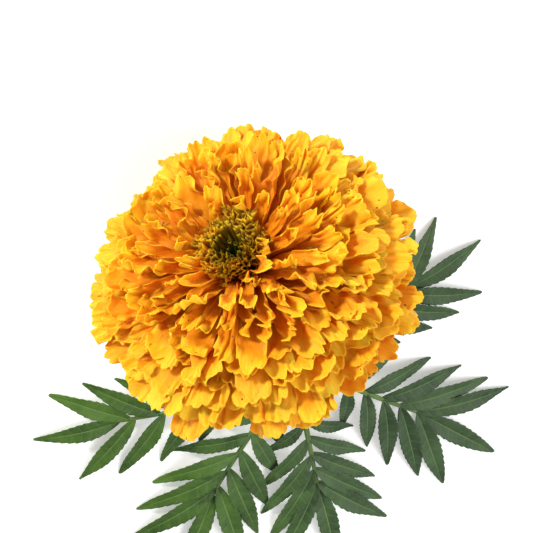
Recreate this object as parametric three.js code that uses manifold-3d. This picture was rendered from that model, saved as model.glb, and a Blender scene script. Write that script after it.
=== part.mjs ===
// An African marigold flower (Tagetes erecta), picked on a short leafy stem and lying on a table.
//
// Millimetres, +Z up. The table is the plane z = 0. The flower's face looks along -Y and up, and the stem
// runs along +Y and down to its cut end. The flower rests on its lowest florets, on the cut end and on its
// leaves. The origin is on the table, under the middle of the whole.
//
// The head is a fountain of ray florets. Each is a narrow claw that widens into a broad blade, and all of
// them stand on a tall receptacle inside the green cup, the involucre. They follow each other round the
// head by the golden angle, from the drooping outer ones to the short upright ones round the eye.
// The outer florets are separate solids. The inner ones stand in whorls, each joined at its claws.
import * as THREE from 'three';
import { mergeVertices } from 'three/addons/utils/BufferGeometryUtils.js';
import Module from 'manifold-3d';

const wasm = await Module();
wasm.setup();

// ---- Driving dimensions ------------------------------------------------------------------------------
const HEAD_RADIUS = 45; // the head is 90 mm across its outer florets
const DOME_HEIGHT = 31; // from the head's widest level up to the top of its dome
const HEAD_CENTRE = [-7.5, -50.4, 41.5]; // the middle of the widest level
const FACE_ELEVATION = 30; // degrees that the face looks up from the table
const FAN_CENTRE = -5; // where the florets' lines meet, along the flower's axis from the head's centre
const CUP_BOTTOM = -33; // where the cup passes into the stem, on the same axis
const CUP_RIM = -5.8; // the tips of the cup's teeth
const GAP = 0.3; // the clearance kept between neighbouring solids

const FLORET_COUNT = 200; // of the real head, which the spiral below is spread over
const OUTER_FLORETS = 39; // modelled one by one, three turns of 13
const TURN = 13; // florets in one turn, which share a level on the receptacle
const GOLDEN_ANGLE = 137.508;
const FIRST_AZIMUTH = 11.2; // sets two outer florets side by side on the table
const OUTER_POLAR = 112; // degrees from the axis to the lowest floret tips, seen from the head's centre
const INNER_POLAR = 13;
const SPIRAL_POWER = 0.8; // below 1, the florets crowd towards the eye
const OUTER_BASE_LEVELS = [82, 73, 64]; // degrees from the axis at which each turn leaves the receptacle
const FLORET_WIDTH = 12.8;
const CLAW_WIDTH = 1.9;
const BLADE_SPAN = [0.12, 0.75]; // parts of its length over which a floret widens from claw to blade
const TIP_NARROWING = 0.72;
const NEAREST_IN_TURN = 20; // degrees between the closest two florets of one turn
const FLORET_THICKNESS = 0.5;
const RECURVE = 13; // degrees of level by which a floret's blade curls outwards, most of it near its tip
const CURL_POWER = 4;
const GUTTER = 0.2; // how far a floret's edges turn up, over half its width
const ON_TABLE = 8; // the first florets of the spiral, which may lie on the table itself
const LAYER = 1.15; // the distance between one turn and the next where the table presses them
const LIFT_STEP = 0.1; // degrees, in which a floret is raised off the table

const WHORL_BASE_LEVELS = [55, 46.5, 38, 30, 22, 14];
const COLLAR_LENGTH = 2.4;
const COLLAR_THICKNESS = 0.8;
const COLLAR_FACET = 2.7; // one floret stands on each facet of its whorl's collar
const WHORL_FILL = 0.9; // how much of its share of the whorl a floret fills

const RECEPTACLE_RADIUS = 6.2;
const RECEPTACLE_HEIGHT = 15; // above the fan centre
const CUP_TEETH = 9;
const NOTCH = { halfWidth: 2.3, depth: 3.6, inner: 7, outer: 11 }; // between two teeth of the cup
const EYE_SIDES = 20;

const STEM_RADIUS = 2.4;
const NECK_RADIUS = 4.0; // the stem swells below the cup
const NECK_LENGTH = 22;
const STEM_BOW = [1.6, 1.2]; // how far the stem bows to its side and down, halfway along
const STEM_SIDES = 12;

// Each leaf: where it leaves the stem as a part of the stem's length, the side it leaves on, its heading
// in degrees from +X, its stalk's length, the length of its longest leaflets, and how far its stalk bends
// sideways by its end.
const LEAVES = [
  { name: 'leaf_left', at: 0.5, side: 1, heading: 18, stalk: 50, leaflet: 27, bend: -18 },
  { name: 'leaf_right', at: 0.54, side: -1, heading: 163, stalk: 38, leaflet: 27, bend: 8 },
  { name: 'leaf_lower_left', at: 0.68, side: 1, heading: 35, stalk: 52, leaflet: 32, bend: 4 },
  { name: 'leaf_lower_right', at: 0.72, side: -1, heading: 121, stalk: 50, leaflet: 32, bend: 0 },
  { name: 'leaf_bottom', at: 0.88, side: 1, heading: 74, stalk: 44, leaflet: 31, bend: 2 },
];
const LEAFLET_PAIRS = 5;
const LEAFLET_SHAPE = 0.2; // width over length
const LEAF_THICKNESS = 0.6;
const LEAFLET_FOLD = 0.22; // how far a leaflet's edges stand above its midrib, over half its width
const LEAF_ARCH = 1.6; // how high a leaflet arches between the stalk and its tip
const STALK_ARCH = 3;
const STALK_RADIUS = 1.0;
const LEAFLETS_FROM = 0.3; // parts of the stalk's length at its first and last pair of leaflets
const LEAFLETS_TO = 0.92;
const FIRST_LEAFLET = 0.62; // the first pair's length over that of the longest
const LEAFLET_TURN = [60, 36]; // degrees between stalk and leaflet, at the start and the end of the stalk
const PAIR_STAGGER = 0.02;

// ---- Materials ---------------------------------------------------------------------------------------
const materialOf = (color, roughness) =>
  new THREE.MeshStandardMaterial({ color, roughness, metalness: 0 });
const OUTER_MATERIAL = materialOf(0xf7a81b, 0.62);
const INNER_MATERIAL = materialOf(0xee9412, 0.62);
const EYE_MATERIAL = materialOf(0x8f8a1e, 0.7);
const CUP_MATERIAL = materialOf(0x5d8a2e, 0.55);
const STEM_MATERIAL = materialOf(0x6f9a3c, 0.55);
const LEAF_MATERIAL = materialOf(0x3f6b35, 0.6);

// ---- Small helpers -----------------------------------------------------------------------------------
const rad = THREE.MathUtils.degToRad;
const deg = THREE.MathUtils.radToDeg;
const lerp = THREE.MathUtils.lerp;
const smoothstep = THREE.MathUtils.smoothstep;

// A closed manifold-3d solid from a closed three.js geometry.
function solidOf(geometry) {
  const bare = geometry.clone();
  bare.deleteAttribute('normal');
  bare.deleteAttribute('uv');
  const merged = mergeVertices(bare, 1e-4);
  const mesh = new wasm.Mesh({
    numProp: 3,
    vertProperties: new Float32Array(merged.attributes.position.array),
    triVerts: new Uint32Array(merged.index.array),
  });
  return new wasm.Manifold(mesh);
}

// A three.js geometry from a manifold-3d solid.
function geometryOf(solid) {
  const { vertProperties, triVerts } = solid.getMesh();
  const geometry = new THREE.BufferGeometry();
  geometry.setAttribute('position', new THREE.BufferAttribute(new Float32Array(vertProperties), 3));
  geometry.setIndex(new THREE.BufferAttribute(new Uint32Array(triVerts), 1));
  geometry.computeVertexNormals();
  return geometry;
}

const joined = (solids) => solids.reduce((whole, piece) => whole.add(piece));

function addMesh(parent, name, geometry, material) {
  const mesh = new THREE.Mesh(geometry, material);
  mesh.name = name;
  parent.add(mesh);
}

// A closed geometry from rings of points, the first and last of which are capped flat.
function loft(rings) {
  const sides = rings[0].length;
  const points = rings.flat();
  const index = [];
  for (let ring = 0; ring + 1 < rings.length; ring++) {
    for (let k = 0; k < sides; k++) {
      const a = ring * sides + k;
      const b = ring * sides + ((k + 1) % sides);
      index.push(a, b, b + sides, a, b + sides, a + sides);
    }
  }
  const last = (rings.length - 1) * sides;
  for (let k = 1; k + 1 < sides; k++) {
    index.push(0, k + 1, k);
    index.push(last, last + k, last + k + 1);
  }
  return new THREE.BufferGeometry().setFromPoints(points).setIndex(index);
}

// A closed sheet of even thickness round a grid of points, rows along it and columns across it.
function sheet(rows, thickness) {
  const lastRow = rows.length - 1;
  const lastColumn = rows[0].length - 1;
  const normalAt = (i, j) => {
    const along = rows[Math.min(i + 1, lastRow)][j].clone().sub(rows[Math.max(i - 1, 0)][j]);
    const across = rows[i][Math.min(j + 1, lastColumn)].clone().sub(rows[i][Math.max(j - 1, 0)]);
    return along.cross(across).normalize();
  };
  const offset = (side) => (row, i) =>
    row.map((point, j) => point.clone().addScaledVector(normalAt(i, j), (side * thickness) / 2));
  const upper = rows.map(offset(-1));
  const lower = rows.map(offset(1));
  // Each ring goes once round the sheet's section: along its upper face and back along the lower one.
  return loft(rows.map((_, i) => [...upper[i], ...lower[i].reverse()]));
}

// ---- The head's own frame ------------------------------------------------------------------------------
// Z is the flower's axis, X is the row's X, and the head group turns and moves this frame into place.
const faceTurn = 90 - FACE_ELEVATION;
const head = new THREE.Group();
head.position.set(...HEAD_CENTRE);
head.rotation.x = rad(faceTurn);
head.updateMatrixWorld(true);
const heightAboveTable = (point) => point.clone().applyMatrix4(head.matrixWorld).z;

// The point at a distance and a level, in degrees from the axis, from the fan centre.
function fanPoint(distance, level, azimuth) {
  const radius = distance * Math.sin(rad(level));
  return new THREE.Vector3(
    radius * Math.cos(rad(azimuth)),
    radius * Math.sin(rad(azimuth)),
    FAN_CENTRE + distance * Math.cos(rad(level)),
  );
}

// Where the tips of the florets at a polar angle lie: their level and distance from the fan centre.
function tipAt(polar) {
  const radius = HEAD_RADIUS * Math.sin(rad(polar));
  const height = DOME_HEIGHT * Math.cos(rad(polar)) - FAN_CENTRE;
  return { level: deg(Math.atan2(radius, height)), distance: Math.hypot(radius, height) };
}

// The polar angle of floret number i of the spiral, equal areas of the dome apart from the crowding.
function polarOf(i) {
  const outer = Math.cos(rad(OUTER_POLAR));
  const inner = Math.cos(rad(INNER_POLAR));
  return deg(Math.acos(lerp(outer, inner, (i / FLORET_COUNT) ** SPIRAL_POWER)));
}

// The distance of the receptacle's surface from the fan centre, at a level.
const receptacleAt = (level) =>
  1 / Math.hypot(Math.sin(rad(level)) / RECEPTACLE_RADIUS, Math.cos(rad(level)) / RECEPTACLE_HEIGHT);

// ---- Ray florets ---------------------------------------------------------------------------------------
// The middle surface of a floret as a grid, from its claw to its tip, with the given places across it.
// Its edges turn up towards the axis, like a shallow gutter.
function floretGrid(floret, steps, places) {
  const recurve = RECURVE * Math.sin(rad(floret.tipLevel));
  const rows = [];
  for (let i = 0; i <= steps; i++) {
    const t = i / steps;
    const level = lerp(floret.baseLevel, floret.tipLevel - recurve, t) + recurve * t ** CURL_POWER;
    const middle = fanPoint(lerp(floret.start, floret.distance, t), level, floret.azimuth);
    const blade = smoothstep(t, ...BLADE_SPAN);
    // Two florets side by side in a turn or a whorl share the room between them.
    const room = Math.tan(rad(floret.apart / 2)) * Math.hypot(middle.x, middle.y) - GAP / 4;
    const narrowing = t === 1 ? TIP_NARROWING : 1;
    const halfWidth = Math.min(room, lerp(CLAW_WIDTH, floret.width, blade) / 2) * narrowing;
    const inward = fanPoint(1, level - 90, floret.azimuth).sub(new THREE.Vector3(0, 0, FAN_CENTRE));
    const sideways = new THREE.Vector3(-Math.sin(rad(floret.azimuth)), Math.cos(rad(floret.azimuth)), 0);
    rows.push(
      places.map((v) =>
        middle.clone().addScaledVector(sideways, v * halfWidth)
          .addScaledVector(inward, v * v * GUTTER * halfWidth),
      ),
    );
  }
  return rows;
}

const outerGrid = (floret) => floretGrid(floret, 5, [-1, 0, 1]);
const innerGrid = (floret) => floretGrid(floret, 4, [-1, 1]);

// The outer florets, from the lowest. Where the table presses them, a floret's tip rises until it clears
// the table and the florets under it.
function outerFlorets() {
  const florets = [];
  for (let i = 0; i < OUTER_FLORETS; i++) {
    const turn = Math.floor(i / TURN);
    const tip = tipAt(polarOf(i));
    const floret = {
      azimuth: FIRST_AZIMUTH + i * GOLDEN_ANGLE,
      baseLevel: OUTER_BASE_LEVELS[turn],
      tipLevel: tip.level,
      start: receptacleAt(OUTER_BASE_LEVELS[turn]) + GAP,
      distance: tip.distance,
      width: FLORET_WIDTH,
      apart: NEAREST_IN_TURN,
    };
    const clearance = FLORET_THICKNESS / 2 + (LAYER * Math.max(0, i + 1 - ON_TABLE)) / TURN;
    const lowest = () => Math.min(...outerGrid(floret).flat().map(heightAboveTable));
    while (lowest() < clearance) floret.tipLevel -= LIFT_STEP;
    florets.push(floret);
  }
  return florets;
}

// An inner whorl: even florets whose claws are joined by a collar round the receptacle.
function whorlSolid(number) {
  const baseLevel = WHORL_BASE_LEVELS[number];
  const perWhorl = (FLORET_COUNT - OUTER_FLORETS) / WHORL_BASE_LEVELS.length;
  const tip = tipAt(polarOf(OUTER_FLORETS + (number + 0.5) * perWhorl));
  // The receptacle is highest at its top, so the collar's upper edge sets how close the whorl comes to it.
  const thick = deg(COLLAR_THICKNESS / 2 / receptacleAt(baseLevel));
  const start = receptacleAt(baseLevel - thick) + GAP;
  const middle = (start + COLLAR_LENGTH / 2) * Math.sin(rad(baseLevel));
  const count = Math.min(TURN, Math.floor((2 * Math.PI * middle) / COLLAR_FACET));
  const corner = (distance, level) => {
    const point = fanPoint(distance, level, 0);
    return new THREE.Vector2(point.x, point.z);
  };
  const profile = [
    corner(start, baseLevel + thick),
    corner(start + COLLAR_LENGTH, baseLevel + thick),
    corner(start + COLLAR_LENGTH, baseLevel - thick),
    corner(start, baseLevel - thick),
    corner(start, baseLevel + thick),
  ];
  const facet = 360 / count;
  // The facets, not the corners between them, are tangent to the circle that clears the receptacle.
  const clear = 1 / Math.cos(rad(facet / 2));
  const collar = new THREE.LatheGeometry(profile, count, rad(facet / 2)).scale(clear, 1, clear);
  const florets = [];
  for (let k = 0; k < count; k++) {
    const floret = {
      azimuth: k * facet,
      baseLevel,
      tipLevel: tip.level,
      start: start + COLLAR_LENGTH / 2,
      distance: tip.distance,
      width: FLORET_WIDTH,
      apart: facet * WHORL_FILL,
    };
    florets.push(solidOf(sheet(innerGrid(floret), FLORET_THICKNESS)));
  }
  return joined([solidOf(collar.rotateX(Math.PI / 2)), ...florets]);
}

// ---- The head ------------------------------------------------------------------------------------------
outerFlorets().forEach((floret, i) => {
  const name = `ray_floret_${String(i + 1).padStart(2, '0')}`;
  addMesh(head, name, sheet(outerGrid(floret), FLORET_THICKNESS), OUTER_MATERIAL);
});
WHORL_BASE_LEVELS.forEach((_, number) => {
  addMesh(head, `inner_whorl_${number + 1}`, geometryOf(whorlSolid(number)), INNER_MATERIAL);
});

// The eye: the packed young florets at the centre, a crown with a dimple in it.
function eyeGeometry() {
  const foot = FAN_CENTRE + RECEPTACLE_HEIGHT + GAP;
  const profile = [
    [0, foot], [2.2, foot], [3.4, foot + 5], [6.2, foot + 11.5], [6.8, foot + 14], [5.4, foot + 15.4],
    [3.2, foot + 13.2], [0, foot + 11.6],
  ];
  const points = profile.map(([r, z]) => new THREE.Vector2(r, z));
  return new THREE.LatheGeometry(points, EYE_SIDES).rotateX(Math.PI / 2);
}
addMesh(head, 'eye_florets', eyeGeometry(), EYE_MATERIAL);

// The involucre: fused bracts that make a toothed cup, with the receptacle standing in it.
function cupGeometry() {
  const outside = [
    [0, CUP_BOTTOM + GAP], [NECK_RADIUS, CUP_BOTTOM + GAP], [5.2, -30], [7.6, -25.5], [9.2, -20], [9.7, -14],
    [9.5, -9.5], [9.3, CUP_RIM],
  ];
  const inside = [[8.5, CUP_RIM], [8.3, -10.5], [RECEPTACLE_RADIUS, -10.5]];
  const profile = [...outside, ...inside].map(([r, z]) => new THREE.Vector2(r, z));
  for (let level = 90; level >= 0; level -= 15) {
    const point = fanPoint(receptacleAt(level), level, 0);
    profile.push(new THREE.Vector2(level ? point.x : 0, point.z));
  }
  let cup = solidOf(new THREE.LatheGeometry(profile, 3 * CUP_TEETH).rotateX(Math.PI / 2));
  // A notch between two teeth is cut by a wedge that points down.
  const wedge = new THREE.Shape([
    new THREE.Vector2(-NOTCH.halfWidth, 1),
    new THREE.Vector2(0, -NOTCH.depth),
    new THREE.Vector2(NOTCH.halfWidth, 1),
  ]);
  const across = NOTCH.outer - NOTCH.inner;
  for (let k = 0; k < CUP_TEETH; k++) {
    const notch = new THREE.ExtrudeGeometry(wedge, { depth: across, bevelEnabled: false })
      .rotateX(Math.PI / 2)
      .translate(0, NOTCH.outer, CUP_RIM)
      .rotateZ((k * 2 * Math.PI) / CUP_TEETH);
    cup = cup.subtract(solidOf(notch));
  }
  return geometryOf(cup);
}
addMesh(head, 'involucre', cupGeometry(), CUP_MATERIAL);

// ---- The stem --------------------------------------------------------------------------------------------
// It leaves the cup along the flower's axis and bows a little on its way to the cut, whose lowest edge is on
// the table.
const axis = new THREE.Vector3(0, 0, 1).transformDirection(head.matrixWorld);
const stemTop = new THREE.Vector3(0, 0, CUP_BOTTOM).applyMatrix4(head.matrixWorld);
const cutHeight = STEM_RADIUS * Math.cos(rad(FACE_ELEVATION));
const stemLength = (stemTop.z - cutHeight) / Math.sin(rad(FACE_ELEVATION));

function stemPoint(t) {
  const bow = Math.sin(Math.PI * t) * t;
  const point = stemTop.clone().addScaledVector(axis, -stemLength * t);
  return point.add(new THREE.Vector3(STEM_BOW[0] * bow, 0, -STEM_BOW[1] * bow));
}

const stemRadius = (t) => lerp(NECK_RADIUS, STEM_RADIUS, smoothstep(t * stemLength, 0, NECK_LENGTH));

function stemGeometry() {
  const rings = [];
  const steps = 10;
  const right = new THREE.Vector3(1, 0, 0);
  const up = axis.clone().cross(right);
  for (let i = 0; i <= steps; i++) {
    const t = i / steps;
    const ring = [];
    for (let k = 0; k < STEM_SIDES; k++) {
      const angle = ((k + 0.5) * 2 * Math.PI) / STEM_SIDES;
      const outward = right.clone().multiplyScalar(Math.cos(angle)).addScaledVector(up, -Math.sin(angle));
      ring.push(stemPoint(t).addScaledVector(outward, stemRadius(t)));
    }
    rings.push(ring);
  }
  return loft(rings);
}

// ---- Leaves ----------------------------------------------------------------------------------------------
// A leaf is a stalk with leaflets in pairs and one at its end. Its stalk comes down from the stem in an arch
// and its outer leaflets lie on the table.
const UP = new THREE.Vector3(0, 0, 1);

function leafSolid(leaf) {
  const side = new THREE.Vector3(leaf.side, 0, 0);
  const start = stemPoint(leaf.at).addScaledVector(side, stemRadius(leaf.at) + GAP);
  const ahead = new THREE.Vector3(Math.cos(rad(leaf.heading)), Math.sin(rad(leaf.heading)), 0);
  const aside = UP.clone().cross(ahead);
  const stalkRadius = (t) => lerp(STALK_RADIUS, STALK_RADIUS / 2, t);
  const stalkPoint = (t) => {
    const point = start.clone().addScaledVector(ahead, leaf.stalk * t);
    point.addScaledVector(aside, leaf.bend * t * t);
    const arch = STALK_ARCH * Math.sin(Math.PI * Math.min(t, 1));
    point.z = lerp(start.z, STALK_RADIUS, smoothstep(t, -0.35, 0.95)) + arch;
    return point;
  };
  const rings = [];
  for (let i = 0; i <= 6; i++) {
    const t = i / 6;
    // The first ring stands upright against the side of the stem.
    const tangent = i ? stalkPoint(t + 0.01).sub(stalkPoint(t - 0.01)).normalize() : side;
    const right = tangent.clone().cross(UP).normalize();
    const up = right.clone().cross(tangent);
    const ring = [];
    for (let k = 0; k < 6; k++) {
      const angle = (k * Math.PI) / 3;
      const outward = right.clone().multiplyScalar(Math.cos(angle)).addScaledVector(up, -Math.sin(angle));
      ring.push(stalkPoint(t).addScaledVector(outward, stalkRadius(t)));
    }
    rings.push(ring);
  }
  const pieces = [solidOf(loft(rings))];
  const addLeaflet = (t, length, turn) => {
    const root = stalkPoint(t);
    const tangent = root.clone().sub(stalkPoint(t - 0.05)).setZ(0).normalize();
    const along = tangent.applyAxisAngle(UP, rad(turn));
    const across = UP.clone().cross(along);
    const grid = [];
    const steps = 5;
    for (let i = 0; i <= steps; i++) {
      const u = i / steps;
      const halfWidth = 0.3 + LEAFLET_SHAPE * 0.5 * length * Math.sin(Math.PI * u ** 0.8) ** 0.9;
      const middle = root.clone().addScaledVector(along, length * u);
      middle.z = lerp(root.z, LEAF_THICKNESS / 2, smoothstep(u, 0, 1)) + LEAF_ARCH * Math.sin(Math.PI * u);
      grid.push(
        [-1, 0, 1].map((v) =>
          middle.clone().addScaledVector(across, v * halfWidth)
            .addScaledVector(UP, LEAFLET_FOLD * Math.abs(v) * halfWidth),
        ),
      );
    }
    pieces.push(solidOf(sheet(grid, LEAF_THICKNESS)));
  };
  for (let pair = 0; pair < LEAFLET_PAIRS; pair++) {
    const share = pair / (LEAFLET_PAIRS - 1);
    const t = lerp(LEAFLETS_FROM, LEAFLETS_TO, share);
    const length = leaf.leaflet * lerp(FIRST_LEAFLET, 1, Math.sin((Math.PI / 2) * share));
    const turn = lerp(...LEAFLET_TURN, t);
    addLeaflet(t, length, turn);
    addLeaflet(t + PAIR_STAGGER, length, -turn);
  }
  addLeaflet(0.99, leaf.leaflet, 0);
  return joined(pieces);
}

// ---- The whole flower ------------------------------------------------------------------------------------
const marigold = new THREE.Group();
marigold.name = 'african_marigold_flower';
marigold.add(head);
addMesh(marigold, 'stem', stemGeometry(), STEM_MATERIAL);
for (const leaf of LEAVES) addMesh(marigold, leaf.name, geometryOf(leafSolid(leaf)), LEAF_MATERIAL);

export default marigold;
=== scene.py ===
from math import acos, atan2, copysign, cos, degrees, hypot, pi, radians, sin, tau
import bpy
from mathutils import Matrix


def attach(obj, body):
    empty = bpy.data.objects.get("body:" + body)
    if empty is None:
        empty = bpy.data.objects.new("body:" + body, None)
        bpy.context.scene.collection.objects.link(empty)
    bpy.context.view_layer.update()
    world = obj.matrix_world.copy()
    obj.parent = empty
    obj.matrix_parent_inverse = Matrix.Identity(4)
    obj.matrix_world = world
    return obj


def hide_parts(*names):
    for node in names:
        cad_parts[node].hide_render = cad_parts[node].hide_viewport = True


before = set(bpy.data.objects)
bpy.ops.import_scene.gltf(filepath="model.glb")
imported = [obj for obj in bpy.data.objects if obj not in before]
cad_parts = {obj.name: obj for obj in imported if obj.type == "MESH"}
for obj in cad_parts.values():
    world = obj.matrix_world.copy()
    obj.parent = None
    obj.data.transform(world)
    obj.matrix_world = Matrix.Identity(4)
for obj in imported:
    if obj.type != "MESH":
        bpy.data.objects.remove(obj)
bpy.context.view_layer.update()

# An African marigold flower, picked on a short leafy stem and lying on a table.
#
# Blender works in metres, but the florets, cup and eye are worked out in millimetres in the head's own frame,
# whose Z is the flower's axis, and then turned into place. The head's dimensions repeat those of the frame
# model, so each petal made here lies where its solid is.
#
# Angles are in degrees, unless a value is a rate or a phase of a wave. A level is an angle from the flower's
# axis, seen from the centre that the florets fan out from, and an azimuth is an angle round that axis.
from types import SimpleNamespace

import bpy
import numpy as np
from mathutils import Matrix, Vector
from numpy.linalg import norm

MM = 0.001
TINY = 1e-12  # keeps a normal of no length from dividing by 0

# ---- The head's dimensions, in millimetres and degrees ----
HEAD_CENTRE = (-7.5, -50.4, 41.5)
FACE_ELEVATION = 30
HEAD_RADIUS = 45
DOME_HEIGHT = 31
FAN_CENTRE = -5
CUP_BOTTOM = -33
CUP_RIM = -5.8
GAP = 0.3
FLORET_COUNT = 200
OUTER_FLORETS = 39
TURN = 13
GOLDEN_ANGLE = 137.508
FIRST_AZIMUTH = 11.2
OUTER_POLAR = 112
INNER_POLAR = 13
SPIRAL_POWER = 0.8
OUTER_BASE_LEVELS = (82, 73, 64)
WHORL_BASE_LEVELS = (55, 46.5, 38, 30, 22, 14)
RECEPTACLE_RADIUS = 6.2
RECEPTACLE_HEIGHT = 15
CUP_TEETH = 9
NECK_RADIUS = 4.0
STEM_RADIUS = 2.4
NECK_LENGTH = 22
STEM_BOW = (1.6, 1.2)

# ---- Camera ----
# The flower's axis leans 28 degrees off the line of sight, and in the picture it leans 28 degrees to the
# left of straight up. The camera looks down on the table and is rolled to bring that about.
AXIS_OFF_SIGHT = 28
AXIS_LEFT_OF_UP = 28
CAMERA_DISTANCE = 0.5
CAMERA_SEES_TO = 20
HEAD_MIDDLE_AHEAD = 0.004  # the middle of what shows of the head, up its axis from its centre
PICTURE_PX = 533
HEAD_WIDTH_PX = 332
HEAD_MIDDLE_PX = (250, 277)
SENSOR_MM = 36

face = radians(FACE_ELEVATION)
AXIS = Vector((0, -cos(face), sin(face)))
sight = face + radians(AXIS_OFF_SIGHT)
BACK = Vector((0, -cos(sight), sin(sight)))
across_sight = (AXIS - AXIS.dot(BACK) * BACK).normalized()
CAMERA_UP = Matrix.Rotation(-radians(AXIS_LEFT_OF_UP), 3, BACK) @ across_sight
CAMERA_RIGHT = CAMERA_UP.cross(BACK)
metres_per_px = 2 * HEAD_RADIUS * MM / HEAD_WIDTH_PX


def add_camera():
    data = bpy.data.cameras.new("camera")
    data.sensor_width = SENSOR_MM
    data.lens = SENSOR_MM * CAMERA_DISTANCE / (PICTURE_PX * metres_per_px)
    data.clip_end = CAMERA_SEES_TO
    camera = bpy.data.objects.new("camera", data)
    bpy.context.scene.collection.objects.link(camera)
    bpy.context.scene.camera = camera
    off_right = (PICTURE_PX / 2 - HEAD_MIDDLE_PX[0]) * metres_per_px
    off_up = (HEAD_MIDDLE_PX[1] - PICTURE_PX / 2) * metres_per_px
    middle = Vector(HEAD_CENTRE) * MM + AXIS * HEAD_MIDDLE_AHEAD
    place = middle + CAMERA_RIGHT * off_right + CAMERA_UP * off_up + BACK * CAMERA_DISTANCE
    turn = Matrix((CAMERA_RIGHT, CAMERA_UP, BACK)).transposed()
    camera.matrix_world = Matrix.Translation(place) @ turn.to_4x4()


add_camera()


# ---- Numbers ----
def ease(x, low, high):
    """A smooth rise from 0 at low to 1 at high."""
    t = np.clip((x - low) / (high - low), 0, 1)
    return t * t * (3 - 2 * t)


def mix(a, b, t):
    return a + (b - a) * t


def bell(x, breadth):
    """A bell curve, 1 in its middle."""
    return np.exp(-((x / breadth) ** 2))


def turn_about_z(angle):
    """The matrix of a turn about Z."""
    cosine, sine = cos(angle), sin(angle)
    return np.array([[cosine, -sine, 0], [sine, cosine, 0], [0, 0, 1]])


def draw_traits(source, traits):
    """A piece's own traits, each moved from its middle by up to its spread."""
    draws = zip(traits.items(), source.uniform(-1, 1, len(traits)))
    return SimpleNamespace(**{name: middle + spread * draw for (name, (middle, spread)), draw in draws})


# ---- Meshes ----
def grid_normals(points):
    """Unit normals of a grid of points, rows along and columns across."""
    along = np.gradient(points, axis=0)
    across = np.gradient(points, axis=1)
    normal = np.cross(along, across)
    return normal / np.maximum(norm(normal, axis=2, keepdims=True), TINY)


def closed_sheet(points, thickness, uv):
    """A closed sheet round a grid of points, as vertices, quads and the uv of each vertex."""
    rows, columns = points.shape[:2]
    offset = grid_normals(points) * thickness[..., None] / 2
    vertices = np.concatenate([(points + offset).reshape(-1, 3), (points - offset).reshape(-1, 3)])
    index = np.arange(rows * columns).reshape(rows, columns)
    a, b, c, d = index[:-1, :-1], index[1:, :-1], index[1:, 1:], index[:-1, 1:]
    upper = np.stack([a, b, c, d], axis=-1).reshape(-1, 4)
    lower = upper[:, ::-1] + rows * columns
    border = np.concatenate([index[0, :], index[1:, -1], index[-1, -2::-1], index[-2:0:-1, 0]])
    after = np.roll(border, -1)
    rim = np.stack([border, after, after + rows * columns, border + rows * columns], axis=-1)
    return vertices, np.concatenate([upper, lower, rim]), np.concatenate([uv.reshape(-1, 2)] * 2)


def closed_tube(rings, uv):
    """A closed tube round rings of points, its ends closed by a fan round their middles."""
    count, sides = rings.shape[:2]
    vertices = np.concatenate([rings.reshape(-1, 3), rings[[0, -1]].mean(axis=1)])
    index = np.arange(count * sides).reshape(count, sides)
    following = np.roll(index, -1, axis=1)
    quads = np.stack([index[:-1], following[:-1], following[1:], index[1:]], axis=-1).reshape(-1, 4)
    first, last = count * sides, count * sides + 1
    # A fan's triangle repeats its third corner as its fourth.
    start = np.stack([np.full(sides, first), following[0], index[0], index[0]], axis=-1)
    end = np.stack([np.full(sides, last), index[-1], following[-1], following[-1]], axis=-1)
    uv = np.concatenate([uv.reshape(-1, 2), uv[[0, -1]].mean(axis=1)])
    return vertices, np.concatenate([quads, start, end]), uv


class Tube:
    """Rings of points, to be closed into a tube whose grain runs round it and along it."""

    def __init__(self, sides):
        self.angle = np.linspace(0, tau, sides, endpoint=False)
        self.rings, self.grain = [], []

    def add(self, middle, right, up, radius, along):
        aside = (radius * np.cos(self.angle))[:, None] * right
        self.rings.append(middle + aside + (radius * np.sin(self.angle))[:, None] * up)
        self.grain.append(np.stack([self.angle / tau, along + 0 * self.angle], axis=-1))

    def shell(self):
        return closed_tube(np.array(self.rings) * MM, np.array(self.grain))


class Shape:
    """Closed shells gathered into one object, with a uv and a tone on every vertex."""

    def __init__(self):
        self.shells = []

    def add(self, shell, tone=0.5, slot=0):
        self.shells.append((*shell, tone, slot))

    def build(self, name, looks, solid, slot):
        """Make the object that shows one of the frame's solids."""
        vertices, faces, uv, tones, slots = zip(*self.shells)
        counts = [len(points) for points in vertices]
        faces = [quads + start for quads, start in zip(faces, np.cumsum([0, *counts]))]
        slots = np.repeat(slots, [len(quads) for quads in faces])
        faces = np.concatenate(faces).tolist()
        faces = [corners[:3] if corners[3] == corners[2] else corners for corners in faces]
        uv = np.concatenate(uv)
        mesh = bpy.data.meshes.new(name)
        mesh.from_pydata(np.concatenate(vertices).tolist(), [], faces)
        corner = np.empty(len(mesh.loops), np.int32)
        mesh.loops.foreach_get("vertex_index", corner)
        layer = mesh.uv_layers.new(name="grain")
        layer.data.foreach_set("uv", uv[corner].astype(np.float32).ravel())
        tone = mesh.attributes.new("tone", "FLOAT", "POINT")
        tone.data.foreach_set("value", np.repeat(tones, counts).astype(np.float32))
        for look in looks:
            mesh.materials.append(look.material)
        mesh.polygons.foreach_set("material_index", slots.astype(np.int32))
        mesh.polygons.foreach_set("use_smooth", np.ones(len(mesh.polygons), bool))
        mesh.update()
        piece = bpy.data.objects.new(name, mesh)
        bpy.context.scene.collection.objects.link(piece)
        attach(piece, "root")
        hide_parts(solid)


# ---- Looks ----
# The sockets of a Mix node have the same names for every type of value, so those for colours go by number.
MIX_FACTOR = 0
MIX_A = 6
MIX_B = 7
MIX_RESULT = 2


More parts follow.
